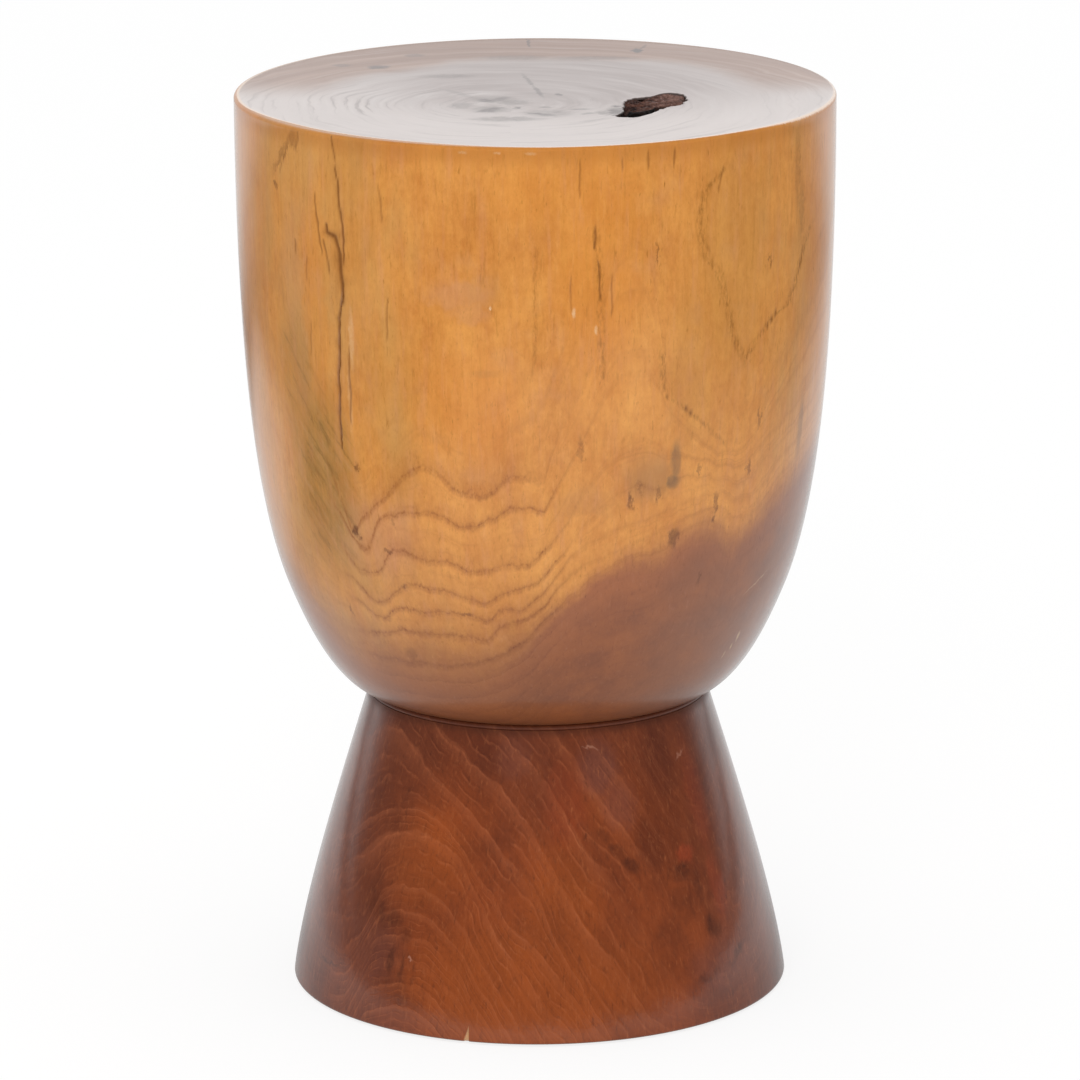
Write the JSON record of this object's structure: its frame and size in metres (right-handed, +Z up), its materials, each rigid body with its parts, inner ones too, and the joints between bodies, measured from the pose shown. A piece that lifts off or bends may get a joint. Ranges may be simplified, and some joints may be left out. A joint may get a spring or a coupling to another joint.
{
  "type": "drum stool",
  "caption": "Turned solid wood drum stool: a deep round-bottomed seat drum with a flat end-grain top on a flared foot, held by a tenon and a screw.",
  "frame": {"origin": "on the floor, at the middle of the stool's base (bottom centre of the bounding box)", "axes": "+Z up, along the turned axis; -Y is the side that the picture shows; +X to its right"},
  "size_m": [0.302, 0.302, 0.462],
  "materials": {
    "seat_wood": "golden brown hardwood under glossy clear lacquer, darker heartwood low down and on the end-grain top",
    "foot_wood": "dark reddish brown heartwood under glossy clear lacquer",
    "knot_bark": "rough dark dead wood and bark",
    "steel": "zinc-plated, dull",
    "felt": "dense pressed wool felt"
  },
  "bodies": {
    "root": {"seat_drum": "seat_wood", "foot": "foot_wood", "dead_knot": "knot_bark", "coach_screw": "steel", "washer": "steel", "felt_pad_1": "felt", "felt_pad_2": "felt", "felt_pad_3": "felt", "felt_pad_4": "felt"}
  },
  "joints": []
}
